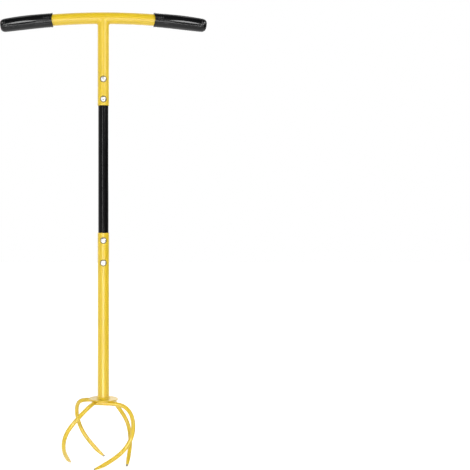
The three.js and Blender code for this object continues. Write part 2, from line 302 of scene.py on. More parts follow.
def buildPowderCoat(detail):
    # Sprayed and baked paint: slow shifts of tone, a fine orange peel, thinner and duller film on
    # edges, bare, darkened steel where the mesh's mask says that the film has been pushed off,
    # and painted shade, a darker and duller colour, where its other mask says so.
    colours = ("Paint", "Thin paint", "Steel", "Painted shade")
    numbers = ("Tone shift", "Gloss low", "Gloss high")
    outputs = ("Colour", "Roughness", "Metallic", "Height")
    tree, given, result = newGroup("powderCoat", colours, numbers, outputs)
    edge, bare, paintedShade = meshMasks(tree, "edge", "bare", "paintedShade")
    slow, patches, grit = noises(tree, detail, "slow", "patches", "grit")
    peel, fine = noises(tree, detail, "peel", "fine")

    tone = ramp(tree, slow, *detail.toneRange)
    toneShare = times(tree, tone, given["Tone shift"])
    wear = ramp(tree, patches, *detail.edgeRange, *detail.edgeWear)
    thinShare = maths(tree, "MAXIMUM", toneShare, times(tree, edge, wear))
    film = blend(tree, thinShare, given["Paint"], given["Thin paint"])
    # Painted shade round the screw heads, broken up by the grit, darkens the film.
    cover = ramp(tree, grit, *detail.grimeRange, *detail.grimeCover)
    paintedShadeShare = times(tree, paintedShade, cover)
    painted = blend(tree, paintedShadeShare, film, given["Painted shade"])
    stray = times(tree, maths(tree, "SUBTRACT", grit, 0.5), detail.bareStray)
    border = ramp(tree, maths(tree, "ADD", bare, stray), *detail.bareRange)
    gone = times(tree, border, ramp(tree, bare, *detail.bareStart))
    colour = blend(tree, gone, painted, given["Steel"])

    gloss = ramp(tree, patches, *detail.glossRange, given["Gloss low"], given["Gloss high"])
    worn = maths(tree, "ADD", gloss, times(tree, gone, detail.bareRoughness))
    dull = times(tree, paintedShadeShare, detail.grimeRoughness)
    relief = maths(tree, "ADD", peel, times(tree, fine, detail.fineHeight))
    lost = times(tree, gone, detail.filmHeight)
    feed(tree, result, {
        "Colour": colour,
        "Roughness": maths(tree, "ADD", worn, dull),
        "Metallic": times(tree, gone, detail.bareMetal),
        "Height": maths(tree, "SUBTRACT", relief, lost),
    })
    return tree


mouldingDetail = named({
    "slow": (30 * mm, 3.0, 0.5),
    "patches": (4 * mm, 5.0, 0.6),
    "grain": (0.45 * mm, 3.0, 0.6),
    "slowRange": (0.4, 0.7),
    "slowShare": (0.0, 0.5),
    "patchRange": (0.35, 0.65),
    "crestShare": 0.45,
    "glossRange": (0.3, 0.7),
})


def buildMoulding(detail):
    # Moulded rubber: a faint mottle, crests that are paler, a skin that is shinier where hands
    # polish it, and a fine spark-eroded grain.
    colours, numbers = ("Rubber", "Bloom"), ("Gloss low", "Gloss high")
    outputs = ("Colour", "Roughness", "Height")
    tree, given, result = newGroup("moulding", colours, numbers, outputs)
    [edge] = meshMasks(tree, "edge")
    slow, patches, grain = noises(tree, detail, "slow", "patches", "grain")
    broad = ramp(tree, slow, *detail.slowRange, *detail.slowShare)
    mottle = times(tree, broad, ramp(tree, patches, *detail.patchRange))
    raised = times(tree, edge, detail.crestShare)
    share = maths(tree, "MAXIMUM", mottle, raised)
    colour = blend(tree, share, given["Rubber"], given["Bloom"])
    gloss = ramp(tree, patches, *detail.glossRange, given["Gloss low"], given["Gloss high"])
    feed(tree, result, {"Colour": colour, "Roughness": gloss, "Height": grain})
    return tree


platingDetail = named({
    "cloud": (5 * mm, 4.0, 0.6),
    "speck": (0.5 * mm, 3.0, 0.5),
    "cloudRange": (0.35, 0.7),
    "glossRange": (0.3, 0.7),
})


def buildPlating(detail):
    # Bright zinc: a cloudy passivation between two tints, and darker in the socket's recess with
    # painted shade.
    colours, numbers = ("Zinc", "Tint", "Painted shade"), ("Gloss low", "Gloss high")
    outputs = ("Colour", "Roughness", "Height")
    tree, given, result = newGroup("plating", colours, numbers, outputs)
    [paintedShade] = meshMasks(tree, "paintedShade")
    cloud, speck = noises(tree, detail, "cloud", "speck")
    share = ramp(tree, cloud, *detail.cloudRange)
    clean = blend(tree, share, given["Zinc"], given["Tint"])
    # Painted shade darkens the socket's recess.
    colour = blend(tree, paintedShade, clean, given["Painted shade"])
    gloss = ramp(tree, cloud, *detail.glossRange, given["Gloss low"], given["Gloss high"])
    feed(tree, result, {"Colour": colour, "Roughness": gloss, "Height": speck})
    return tree


def newMaterial(name):
    material = bpy.data.materials.new(name)
    material.use_nodes = True
    tree = material.node_tree
    return material, tree, tree.nodes["Principled BSDF"].inputs


def finishFrom(name, group, given, plain, distance, strength):
    # One material: the group's outputs feed the shader, and what is the same all over sits on the
    # shader itself.
    material, tree, shader = newMaterial(name)
    effect = addNode(tree, "ShaderNodeGroup", {"node_tree": group}, given)
    relief = {"Distance": distance, "Strength": strength, "Height": effect.outputs["Height"]}
    bump = addNode(tree, "ShaderNodeBump", None, relief)
    feed(tree, shader, {**plain, "Normal": bump.outputs["Normal"]})
    sockets = {"Colour": "Base Color", "Roughness": "Roughness", "Metallic": "Metallic"}
    for label, socket in sockets.items():
        if label in effect.outputs:
            tree.links.new(effect.outputs[label], shader[socket])
    return material


powderCoat = buildPowderCoat(coatDetail)
finishSetup = {  # name, effect, what that is given, what is plain, bump distance and strength
    "yellow_paint": ("yellowPowderCoat", powderCoat, {
        "Paint": (0.84, 0.586, 0.019),
        "Thin paint": (0.79, 0.52, 0.012),
        "Steel": (0.34, 0.32, 0.29),
        # colour of the painted shade round the screw heads
        "Painted shade": (0.07, 0.045, 0.018),
        "Tone shift": 0.14,
        "Gloss low": 0.3,
        "Gloss high": 0.42,
    }, {"Coat Weight": 0.5, "Coat Roughness": 0.24}, 0.05 * mm, 0.5),
    "black_paint": ("blackPowderCoat", powderCoat, {
        "Paint": (0.003, 0.0031, 0.0034),
        "Thin paint": (0.009, 0.009, 0.01),
        "Steel": (0.25, 0.25, 0.25),
        # colour of the painted shade round the screw heads
        "Painted shade": (0.02, 0.019, 0.018),
        "Tone shift": 0.3,
        "Gloss low": 0.14,
        "Gloss high": 0.22,
    }, {"Specular IOR Level": 0.17}, 0.05 * mm, 0.5),
    "grip": ("gripRubber", buildMoulding(mouldingDetail), {
        "Rubber": (0.0025, 0.0026, 0.003),
        "Bloom": (0.006, 0.0063, 0.0072),
        "Gloss low": 0.12,
        "Gloss high": 0.18,
    }, {"Specular IOR Level": 0.38}, 0.02 * mm, 0.2),
    "fastener": ("brightZinc", buildPlating(platingDetail), {
        "Zinc": (0.82, 0.83, 0.84),
        "Tint": (0.68, 0.69, 0.67),
        # colour of the painted shade in the socket
        "Painted shade": (0.16, 0.16, 0.16),
        "Gloss low": 0.26,
        "Gloss high": 0.4,
    }, {"Metallic": 1.0}, 0.03 * mm, 0.3),
}
finishes = {slot: finishFrom(*setup) for slot, setup in finishSetup.items()}
print("materials made")

# Tubes of the stem
stemTubes = named({
    "outer": 12.7 * mm,
    "inner": 11.5 * mm,
    "middleOuter": 11.3 * mm,
    "middleInner": 9.8 * mm,
    "rim": 0.4 * mm,  # softening of a cut end under its paint
    "rimSteps": 5,
    "rows": 14,
    "rowInset": 2 * mm,  # from a cut end to the first row
    "grimeRadius": 6.8 * mm,  # painted shade round each screw reaches out to here, and thins out to the next
    "cleanRadius": 7.9 * mm,
    "closeMargin": 1 * mm,  # close rows run this far past the painted shade
    "closePitch": 0.6 * mm,
    "columns": 160,
})
screwCount = 4


def middleHeight(node):
    # Half the sum of the lowest and the highest height of the node's box.
    low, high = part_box(node)
    return (low.z + high.z) / 2


screwHeights = [middleHeight(f"screw_{n + 1}") for n in range(screwCount)]


def wallOutline(tubes, outer, inner, low, high):
    # Radius and height of a tube's wall, softened at its four corners, with close rows on the
    # outside where the screws are. Returns the outline and the mask of its edges.
    corners = [(inner, low), (outer, low), (outer, high), (inner, high)]
    outline, mask = softCorners(corners, tubes.rim, tubes.rimSteps)
    reach = tubes.cleanRadius + tubes.closeMargin
    inside = [height for height in screwHeights if low < height < high]
    near = [np.arange(height - reach, height + reach, tubes.closePitch) for height in inside]
    inset = tubes.rowInset
    plain = np.linspace(low + inset, high - inset, tubes.rows)
    heights = np.unique(np.concatenate([plain, *near]))
    rows = stacked(np.full(len(heights), outer), heights)
    half = len(outline) // 2
    outline = np.vstack([outline[:half], rows, outline[half:]])
    return outline, np.concatenate([mask[:half], np.zeros(len(rows)), mask[half:]])


def screwPaintedShade(tubes, grid):
    # Share of painted shade round the screw heads: 1 near each screw's axis and 0 beyond the
    # shade's outer radius, by the distance from the axis in the XZ plane.
    share = np.zeros(grid.shape[:2])
    for height in screwHeights:
        away = np.hypot(grid[..., 0], grid[..., 2] - height)
        ringShade = 1 - smoothStep(tubes.grimeRadius, tubes.cleanRadius, away)
        share = np.maximum(share, ringShade)
    return share


def addTube(node, outer, inner, finish, tubes):
    # The wall's outline turned about the stem.
    low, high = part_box(node)
    outline, edge = wallOutline(tubes, outer, inner, low.z, high.z)
    grid = turned(outline[:, 0], outline[:, 1], tubes.columns)
    # The paint round the screws is darkened with painted shade.
    masks = {"edge": edge[:, None], "paintedShade": screwPaintedShade(tubes, grid)}
    addSurface(node, "tube", grid, finish, masks=masks)


addTube("lower_stem", stemTubes.outer, stemTubes.inner, "yellow_paint", stemTubes)
addTube("middle_tube", stemTubes.middleOuter, stemTubes.middleInner, "black_paint", stemTubes)
print("stem tubes made")

# Handlebar: an arc in the vertical plane, highest over the stem
handlebar = named({
    "bendRadius": 1480 * mm,
    "axisHeight": 981.2 * mm,
    "radius": 12.7 * mm,
    "bore": 11.5 * mm,
    "rim": 0.4 * mm,
    "halfLength": 221.3 * mm,
    "stations": 80,
    "columns": 96,
    "copeBite": 0.1 * mm,  # how far the stem's coped end goes into the bar
    "copeReach": 60 * mm,  # length of the stem whose rows bend towards the saddle
})


def bentAlongBar(grid):
    # A point at x along the straight bar goes to the angle x over the bend radius on the arc, its
    # z added to the radius; y stays.
    angle = grid[..., 0] / handlebar.bendRadius
    reach = handlebar.bendRadius + grid[..., 2]
    rise = handlebar.axisHeight - handlebar.bendRadius + reach * np.cos(angle)
    return stacked(reach * np.sin(angle), grid[..., 1], rise)


def laidAlongX(grid, side=1):
    # The turning axis goes from Z to X, to the left for side -1.
    return grid[..., [2, 1, 0]] * np.array([side, 1, -1])


def addHandlebar(bar):
    # The tube's outside from end to end and its bore back again, turned and bent.
    along = np.linspace(-bar.halfLength, bar.halfLength, bar.stations)
    outer = np.full(len(along), bar.radius)
    inner = np.full(len(along), bar.bore)
    outer[[0, -1]] -= bar.rim
    inner[[0, -1]] += bar.rim
    radius = np.concatenate([outer, inner])
    distance = np.concatenate([along, along[::-1]])
    grid = bentAlongBar(laidAlongX(turned(radius, distance, bar.columns)))
    addSurface("crossbar", "tube", grid, "yellow_paint")


addHandlebar(handlebar)


def barUnderside(y, radius):
    # Height of the bar's lower surface over a point at y.
    return handlebar.axisHeight - np.sqrt(np.maximum(radius**2 - y**2, 0))


def addHandleStem(bar, tubes):
    # The wall's outline runs from the cut end up to the bar's axis, and its upper part is then
    # drawn down to the saddle under the bar.
    low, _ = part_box("handle_stem")
    top = bar.axisHeight
    outline, mask = wallOutline(tubes, tubes.outer, tubes.inner, low.z, top)
    grid = turned(outline[:, 0], outline[:, 1], tubes.columns)
    saddle = barUnderside(grid[..., 1], bar.radius - bar.copeBite)
    start = top - bar.copeReach
    grid[..., 2] += shareBetween(start, top, grid[..., 2]) * (saddle - top)
    edge = np.where(outline[:, 1] > start, 0, mask)
    # The paint round the screws is darkened with painted shade.
    masks = {"edge": edge[:, None], "paintedShade": screwPaintedShade(tubes, grid)}
    addSurface("handle_stem", "tube", grid, "yellow_paint", masks=masks)


addHandleStem(handlebar, stemTubes)

# Weld in the corner between the stem and the bar, ground and painted over
barWeld = named({
    "leg": 2.6 * mm,
    "thin": 0.5 * mm,
    "taper": 0.7,
    "bulge": 0.32,
    "rootDepth": 0.6 * mm,
    "ripple": 0.05,
    "ripples": 46,
    "rows": 12,
    "columns": 368,
})


def addBarWeld(weld):
    # Round the stem at each angle, a section runs from the stem's side to the bar's side: a curve
    # of three points whose middle one stands off the corner. Where the two tubes are tangent, in
    # front and behind, it thins out.
    angle = anglesAround(weld.columns)
    radius = handlebar.radius
    x, y = radius * np.cos(angle), radius * np.sin(angle)
    corner = stacked(x, y, barUnderside(y, radius))
    stemNormal = stacked(np.cos(angle), np.sin(angle), np.zeros_like(angle))
    barNormal = stacked(np.zeros_like(angle), y / radius, -np.abs(np.cos(angle)))
    along = np.gradient(corner, axis=0)
    along[[0, -1]] = corner[[1, 0]] - corner[[-1, -2]]
    along = unit(along)
    outOnBar = np.cross(barNormal, along)
    outOnBar *= np.sign(np.einsum("ij,ij->i", outOnBar, stemNormal) + tiny)[:, None]
    downOnStem = np.cross(stemNormal, along)
    downOnStem *= np.where(downOnStem[:, 2] > 0, -1, 1)[:, None]
    ripple = 1 + weld.ripple * np.sin(weld.ripples * angle)
    spread = np.abs(np.cos(angle)) ** weld.taper
    leg = ((weld.thin + (weld.leg - weld.thin) * spread) * ripple)[:, None]
    outward = stemNormal + barNormal
    first = corner + downOnStem * leg
    middle = corner + outward * leg * weld.bulge
    last = corner + outOnBar * leg
    t = np.linspace(0, 1, weld.rows)[:, None, None]
    curve = curveOfThree(first, middle, last, t)
    root = corner - outward * weld.rootDepth
    addSurface("crossbar_weld", "fillet", np.concatenate([curve, root[None]]), "yellow_paint")


addBarWeld(barWeld)
print("handlebar made")

# Grips: a lip, rings, a knurled stretch, long leaf-shaped flutes and a blunt dome
gripShape = named({
    "inset": 110.2 * mm,
    "length": 117.3 * mm,
    "bore": 12.9 * mm,
    "boreStart": 0.3 * mm,
    "boreFloor": 0.1,  # radius of the last row, as a share of the bore's
    "endWall": 6 * mm,
    "lipRadius": 15.7 * mm,
    "lipLength": 4 * mm,
    "lipSoft": 0.9 * mm,
    "lipBack": 0.86,  # where the lip falls to the rings, as a share of its length
    "lipFall": 0.8 * mm,
    "lipFirst": 0.1,
    "ringRadius": 15.3 * mm,
    "ringPitch": 4.4 * mm,
    "ringDepth": 0.28 * mm,
    "ringCount": 4,
    "grooveDown": (0.56, 0.7),  # shares of the pitch
    "grooveUp": (0.8, 0.95),
    "knurlLength": 13 * mm,
    "knurlDepth": 0.12 * mm,
    "knurlCount": 28,
    "knurlPitch": 3.0 * mm,
    "knurlFade": (2 * mm, -2 * mm, 3 * mm),  # after its start, and before and after its end
    "endRadius": 14.4 * mm,
    "swell": 0.55 * mm,
    "fluteStart": 34 * mm,
    "fluteEnd": 110 * mm,
    "fluteDepth": 1.0 * mm,
    "fluteCount": 11,
    "fluteTurn": math.radians(7.5),  # of the flute in front, down from the middle
    "fluteShare": 0.8,  # width of a flute as a share of the room between two
    "fluteLeast": 1e-4,  # half of that where a flute has run out
    "leafPower": 0.45,
    "fluteUnderside": 0.3,  # depth of the flutes below, where the fingers close, beside the others
    "undersideEnd": (-0.75, -0.2),  # heights where they deepen, as shares of the radius
    "domeLength": 11 * mm,
    "domePower": 0.8,
    "domeFirst": 0.02,
    "dimpleRadius": 4.5 * mm,
    "dimpleDepth": 0.8 * mm,
    "dimpleProfile": ((0.1, 0), (0.62, 0), (0.74, 0.25), (0.86, 0.8), (0.94, 0.97)),
    "mouthDip": 3 * mm,
    "mouthLean": 0.8 * mm,
    "gatePlace": 104 * mm,
    "gateTurn": math.radians(16),  # below the middle, and by the stray more so on the left grip
    "gateStray": math.radians(7),
    "gateRadius": 3.6 * mm,
    "gateLine": 0.45 * mm,
    "gateDot": 0.8 * mm,
    "gateDotShare": 0.8,
    "gateHeight": 0.3 * mm,
    "skin": 0.5 * mm,  # what is this much wider than the bore is outside
    "crestStart": 0.86,
    "rows": {"dome": 26, "flutes": 90, "knurl": 44, "rings": 60, "fall": 7, "lip": 9, "bore": 8},
    "rowGaps": {"dome": 0.2 * mm, "knurl": 0.3 * mm, "rings": 0.2 * mm},  # between two stretches
    "columns": 264,
})
gripShape.ringsEnd = gripShape.lipLength + gripShape.ringCount * gripShape.ringPitch
gripShape.knurlEnd = gripShape.ringsEnd + gripShape.knurlLength
gripShape.domeStart = gripShape.length - gripShape.domeLength


def gripOutline(grip):
    # Distance from the mouth and radius of each row, from the middle of the domed end to the
    # bottom of the bore.
    rows, gaps = grip.rows, grip.rowGaps
    quarter = np.linspace(grip.domeFirst, 1, rows["dome"]) * quarterTurn
    rise = np.sin(quarter) ** grip.domePower
    domeRadius = grip.dimpleRadius + (grip.endRadius - grip.dimpleRadius) * rise
    domeDistance = grip.domeStart + grip.domeLength * np.cos(quarter)
    dimple = np.array(grip.dimpleProfile, float)
    dimpleRadius = grip.dimpleRadius * dimple[:, 0]
    dimpleDistance = grip.length - grip.dimpleDepth + grip.dimpleDepth * dimple[:, 1]
    flutes = np.linspace(grip.domeStart - gaps["dome"], grip.knurlEnd, rows["flutes"])
    share = shareBetween(grip.fluteStart, grip.fluteEnd, flutes)
    slim = grip.endRadius + (grip.ringRadius - grip.endRadius) * (1 - share)
    fluted = slim + grip.swell * np.sin(math.pi * share)
    knurl = np.linspace(grip.knurlEnd - gaps["knurl"], grip.ringsEnd, rows["knurl"])
    rings = np.linspace(grip.ringsEnd - gaps["rings"], grip.lipLength, rows["rings"])
    phase = (rings - grip.lipLength) / grip.ringPitch % 1
    groove = smoothStep(*grip.grooveDown, phase) * (1 - smoothStep(*grip.grooveUp, phase))
    lipBack = grip.lipLength * grip.lipBack
    fall = smoothStep(0, 1, np.linspace(grip.lipFirst, 1, rows["fall"]))
    lipTurn = np.linspace(0, 1, rows["lip"]) * quarterTurn
    soft = grip.lipSoft
    boreEnd = grip.length - grip.endWall
    bore = np.linspace(grip.boreStart, boreEnd, rows["bore"])
    radius = np.concatenate([
        dimpleRadius,
        domeRadius,
        fluted,
        np.full(len(knurl), grip.ringRadius),
        grip.ringRadius - grip.ringDepth * groove,
        grip.ringRadius + (grip.lipRadius - grip.ringRadius) * fall,
        grip.lipRadius - soft + soft * np.cos(lipTurn),
        np.full(len(bore), grip.bore),
        [grip.bore * grip.boreFloor],
    ])
    distance = np.concatenate([
        dimpleDistance,
        domeDistance,
        flutes,
        knurl,
        rings,
        np.linspace(lipBack, lipBack - grip.lipFall, rows["fall"]),
        soft - soft * np.sin(lipTurn),
        bore,
        [boreEnd],
    ])
    return distance, radius


def fluteCut(grip, along, angle):
    # Depth of the leaf-shaped flutes at each distance and angle: greatest along the middle of a
    # flute, with flat walls that rise to its edge.
    share = shareBetween(grip.fluteStart, grip.fluteEnd, along)
    leaf = np.sin(math.pi * share) ** grip.leafPower
    fluteTurns = (angle - frontAngle - grip.fluteTurn) * grip.fluteCount / fullTurn
    cell = (fluteTurns + 0.5) % 1 - 0.5  # from -0.5 to 0.5 across one flute
    halfWidth = np.maximum(0.5 * grip.fluteShare * leaf, grip.fluteLeast)
    wall = np.clip(np.abs(cell) / halfWidth, 0, 1)  # 0 at the bottom of the flute, 1 at its edge
    span = halfWidth * fullTurn / grip.fluteCount
    flat = grip.ringRadius * (1 - np.cos(span / 2)) * 4 * wall * (1 - wall)
    above = smoothStep(*grip.undersideEnd, -np.cos(angle))
    deepen = grip.fluteUnderside + (1 - grip.fluteUnderside) * above
    return grip.fluteDepth * leaf * deepen * (1 - wall) + flat


def knurlRise(grip, along, angle):
    # A diamond knurl: half the sum of two waves that run crosswise round the grip.
    fadeIn, fadeOut, fadeEnd = grip.knurlFade
    start, end = grip.ringsEnd, grip.knurlEnd
    zone = smoothStep(start, start + fadeIn, along)
    zone = zone * (1 - smoothStep(end + fadeOut, end + fadeEnd, along))
    wave = fullTurn * along / grip.knurlPitch
    turn = grip.knurlCount * angle
    diamond = np.cos(turn + wave) + np.cos(turn - wave)
    return grip.knurlDepth * zone * diamond / 2


def gateRise(grip, along, angle, side):
    # The mark of the mould's gate on the front: a ring and a dot, each the exponential of minus
    # its squared distance over its squared width.
    across = (angle - frontAngle - grip.gateTurn + grip.gateStray * side) * grip.endRadius
    away = np.hypot(along - grip.gatePlace, across)
    ring = np.exp(-(((away - grip.gateRadius) / grip.gateLine) ** 2))
    dot = np.exp(-((away / grip.gateDot) ** 2))
    return grip.gateHeight * (ring + grip.gateDotShare * dot)


def addGrip(side, grip):
    # The outline turned, less the flutes, plus the knurl and the gate's mark. The mouth's front
    # and back dip towards the end, and its top leans towards the stem.
    distance, base = gripOutline(grip)
    angle = anglesAround(grip.columns)[None, :]
    along = distance[:, None]
    radius = np.repeat(base[:, None], grip.columns, axis=1)
    outside = (base > grip.bore + grip.skin)[:, None] | (along > grip.domeStart)
    radius -= np.where(outside, fluteCut(grip, along, angle), 0)
    radius += np.where(outside, knurlRise(grip, along, angle), 0)
    radius += np.where(outside, gateRise(grip, along, angle, side), 0)
    grid = turned(radius, np.repeat(along, grip.columns, axis=1), grip.columns)
    nearMouth = np.clip(1 - along / grip.ringsEnd, 0, 1)
    lean = grip.mouthLean * np.cos(angle)
    grid[..., 2] += grip.inset + nearMouth * (grip.mouthDip * np.sin(angle) ** 2 + lean)
    height = shareBetween(radius.min(), radius.max(), radius)
    crest = smoothStep(grip.crestStart, 1.0, height) * outside
    node = "grip_right" if side > 0 else "grip_left"
    bent = bentAlongBar(laidAlongX(grid, side))
    addSurface(node, "sleeve", bent, "grip", poles=True, masks={"edge": crest})


addGrip(-1, gripShape)
addGrip(1, gripShape)
print("grips made")

# Plate, and the weld between it and the stem
plateShape = named({
    "radius": 32 * mm,
    "edge": 1.2 * mm,
    "rimRows": 8,
    "flatShares": (0.02, 0.98),
    "flatRows": 14,
    "columns": 160,
})


def addPlate(plate):
    # Half the plate's outline, from its middle below to its middle above, turned about the stem.
    # The rim turns through two quarter circles.
    low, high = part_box("tine_plate")
    quarter = np.linspace(0, quarterTurn, plate.rimRows)
    inner = plate.radius - plate.edge
    flat = np.linspace(*plate.flatShares, plate.flatRows) * inner
    radius = np.concatenate([
        flat,
        inner + plate.edge * np.sin(quarter),
        inner + plate.edge * np.cos(quarter),
        flat[::-1],
    ])
    height = np.concatenate([
        np.full(len(flat), low.z),
        low.z + plate.edge * (1 - np.cos(quarter)),
        high.z - plate.edge * (1 - np.sin(quarter)),
        np.full(len(flat), high.z),
    ])
    mask = smoothStep(inner, plate.radius, radius)
    grid = turned(radius, height, plate.columns)
    masks = {"edge": mask[:, None]}
    addSurface("tine_plate", "disc", grid, "yellow_paint", poles=True, masks=masks)


addPlate(plateShape)

stemWeld = named({
    "leg": 3.3 * mm,
    "bulge": 0.45,
    "ripple": 0.04,
    "ripples": 30,
    "sway": 0.06,  # a slower change of the leg
    "sways": 3,
    "swayStart": 1,
    "rootDepth": 0.3 * mm,
    "sink": 0.1 * mm,
    "rows": 14,
    "columns": 240,
})


def addStemWeld(weld, tubes):
    # A fillet's section is a curve of three points from the plate to the stem, closed through the
    # corner; its leg ripples and sways round the stem.
    low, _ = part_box("stem_weld")
    angle = anglesAround(weld.columns)[None, :]
    ripple = weld.ripple * np.sin(weld.ripples * angle)
    sway = weld.sway * np.sin(weld.sways * angle + weld.swayStart)
    leg = weld.leg * (1 + ripple + sway)
    t = np.linspace(0, 1, weld.rows)[:, None]
    out = curveOfThree(1, weld.bulge, 0, t)
    up = curveOfThree(0, weld.bulge, 1, t)
    foot = low.z - weld.sink
    corner = np.full_like(leg, tubes.outer - weld.rootDepth)
    radius = np.vstack([tubes.outer + out * leg, corner])
    height = np.vstack([foot + up * leg, np.full_like(leg, foot)])
    addSurface("stem_weld", "fillet", turned(radius, height, weld.columns), "yellow_paint")


addStemWeld(stemWeld, stemTubes)
print("plate made")

# Tines: one bent rod, turned four times, each with its own small strays
tineCount = 4
tineShape = named({
    "radius": 4.5 * mm,
    "drop": 143 * mm,
    "rootOffset": 18.2 * mm,
    "rootBite": 0.5 * mm,  # how far a root's end is fused into its neighbour's side
    "rootCope": 9 * mm,  # length over which the end is shaped to that side
    "rootRound": ((0, 0.86), (0.15 * mm, 0.95)),  # distance from that end and share of the radius
    "rootSoft": 0.5 * mm,
    "plateGap": 0.15 * mm,
    "turn": math.radians(-8),
    "controls": (  # out along the root, towards the side and down, as shares of the drop
        (0.03, 0, 0),
        (0.18, 0, 0),
        (0.335, 0, 0.02),
        (0.452, 0.07, 0.144),
        (0.491, 0.206, 0.34),
        (0.446, 0.265, 0.562),
        (0.273, 0.261, 0.786),
        (-0.047, 0.216, 1),
    ),
    "straightRows": 2,
    "strays": (  # shifts of the point and of the belly, as the same shares
        ((-0.045, 0, 0), (0.04, 0, 0.01)),
        ((0.01, 0.177, 0), (0.01, 0.05, 0.01)),
        ((0.08, -0.035, -0.04), (-0.052, 0.01, -0.092)),
        ((-0.015, 0.025, 0), (-0.01, -0.04, 0.03)),
    ),
    "groundLength": 26 * mm,
    "groundSoft": 0.22 * mm,
    "pointThickness": 3.2 * mm,
    "pointWidthShare": 0.5,
    "narrowPower": 1.3,
    "upperShare": 0.19,  # how far the upper side comes down too, as a share of the radius
    "tipRound": 1.3 * mm,
    "tipTurn": 0.96,  # share of a quarter turn that rounds the tip
    "tipRows": 9,
    "bareFrom": 8 * mm,  # bare steel, from this far before the tip to its full share there
    "bareTo": 1 * mm,
    "bareShare": 0.8,
    "linePoints": 2000,
    "stations": 150,
    "columns": 64,
})


def splineWeights(count, controls, degree=3):
    # The Cox and de Boor weights of a curve that starts and ends on its first and last control
    # points.
    spans = controls - degree
    knots = np.concatenate([np.zeros(degree), np.linspace(0, 1, spans + 1), np.ones(degree)])
    t = np.linspace(0, 1, count)
    weights = [((t >= a) & (t < b)).astype(float) for a, b in zip(knots[:-1], knots[1:])]
    weights[controls - 1][-1] = 1
    for order in range(1, degree + 1):
        raised = []
        for i in range(len(knots) - order - 1):
            before, after = knots[i + order] - knots[i], knots[i + order + 1] - knots[i + 1]
            rise = (t - knots[i]) / before * weights[i] if before > 0 else 0 * t
            fall = (knots[i + order + 1] - t) / after * weights[i + 1] if after > 0 else 0 * t
            raised.append(rise + fall)
        weights = raised
    return stacked(*weights)


def tineLine(tine, stray):
    # Control points from the shares. After the straight root the stray of the point grows evenly,
    # and that of the belly as a sine.
    shares = np.array(tine.controls, float)
    rows = tine.straightRows
    grown = np.clip((np.arange(len(shares)) + 1 - rows) / (len(shares) - rows), 0, None)[:, None]
    shares = shares + grown * np.array(stray[0]) + np.sin(math.pi * grown) * np.array(stray[1])
    low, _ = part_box("tine_plate")
    rootHeight = low.z - tine.plateGap - tine.radius
    controls = stacked(
        shares[:, 0] * tine.drop,
        -tine.rootOffset - shares[:, 1] * tine.drop,
        rootHeight * (1 - np.maximum(shares[:, 2], 0)),
    )
    rootStart = tine.radius - tine.rootBite - tine.rootOffset
    controls = np.vstack([[rootStart, -tine.rootOffset, rootHeight], controls])
    return splineWeights(tine.linePoints, len(controls)) @ controls


def sweptFrames(line, distances):
    # Points and tangents at the given distances along a line, two directions across it, the first
    # of them the part of +Y that is square to the tangent, and the part of +Z that is.
    steps = np.linalg.norm(np.diff(line, axis=0), axis=1)
    run = np.concatenate([[0], np.cumsum(steps)])
    centre, tangent = (
        stacked(*(np.interp(distances, run, source[:, k]) for k in range(3)))
        for source in (line, np.gradient(line, run, axis=0))
    )
    tangent = unit(tangent)
    across = unit(np.array([0, 1.0, 0]) - tangent * tangent[:, 1:2])
    upper = unit(np.array([0, 0, 1.0]) - tangent * tangent[:, 2:3])
    return centre, across, np.cross(tangent, across), upper


def turnedAboutZ(grid, angle):
    # The new x is x cos less y sin of the angle, and the new y is x sin plus y cos.
    c, s = math.cos(angle), math.sin(angle)
    return grid @ np.array([[c, s, 0], [-s, c, 0], [0, 0, 1]])


def addTine(number, tine):
    # Each station is a ring square to the line. Near the point a plane grinds its lower side
    # away: heights below the plane are lifted onto it, with a small softening, while the width
    # narrows; the end is rounded off. The root's end is drawn back to its neighbour's side.
    size = tine.radius
    line = tineLine(tine, tine.strays[number])
    length = np.linalg.norm(np.diff(line, axis=0), axis=1).sum()
    root = np.array(tine.rootRound, float)
    body = np.linspace(tine.rootSoft, length - tine.tipRound, tine.stations)
    endTurn = np.linspace(0, 1, tine.tipRows)[1:] * quarterTurn * tine.tipTurn
    end = length - tine.tipRound * (1 - np.sin(endTurn))
    distances = np.concatenate([root[:, 0], body, end])
    scale = np.concatenate([root[:, 1], np.ones(len(body)), np.cos(endTurn)])[:, None]
    centre, across, up, upper = sweptFrames(line, distances)
    angle = anglesAround(tine.columns)[:, None]
    ring = across[:, None] * np.cos(angle) + up[:, None] * np.sin(angle)
    height = np.einsum("ijk,ik->ij", ring, upper) * size
    width = ring * size - height[..., None] * upper[:, None]
    ground = 1 - np.clip((length - distances) / tine.groundLength, 0, 1)[:, None]
    crest = size * (1 - tine.upperShare * ground)
    plane = -size + (crest + size - tine.pointThickness) * ground
    height = np.where(height > 0, height * crest / size, height)
    soft = tine.groundSoft
    lifted = plane + soft * np.logaddexp(0, (height - plane) / soft)
    height = np.where(ground > 0, np.minimum(lifted, crest), height)
    narrow = 1 - (1 - tine.pointWidthShare) * ground ** tine.narrowPower
    middle = (crest + plane) / 2 * (ground > 0)
    height = middle + (height - middle) * scale
    width = width * (narrow * scale)[..., None]
    grid = centre[:, None] + width + height[..., None] * upper[:, None]
    saddle = size - np.sqrt(np.maximum(size**2 - height**2, 0))
    grid[..., 0] -= np.clip(1 - distances / tine.rootCope, 0, 1)[:, None] * saddle
    toTip = np.clip(length - distances, 0, None)[:, None]
    bare = smoothStep(tine.bareFrom, tine.bareTo, toTip) * tine.bareShare
    grid = turnedAboutZ(grid, tine.turn - quarterTurn * number)
    masks = {"bare": bare}
    addSurface(f"tine_{number + 1}", "rod", grid, "yellow_paint", poles=True, masks=masks)


for number in range(tineCount):
    addTine(number, tineShape)

# Welds along the tines' roots
rootWeld = named({
    "radius": 1.75 * mm,
    "length": 26 * mm,
    "seat": 0.8,
    "fadePower": 0.3,
    "fadeShares": (0.004, 0.996),
    "ripple": 0.07,
    "ripples": 13,
    "plateGap": 0.02 * mm,
    "stations": 120,
    "columns": 28,
})


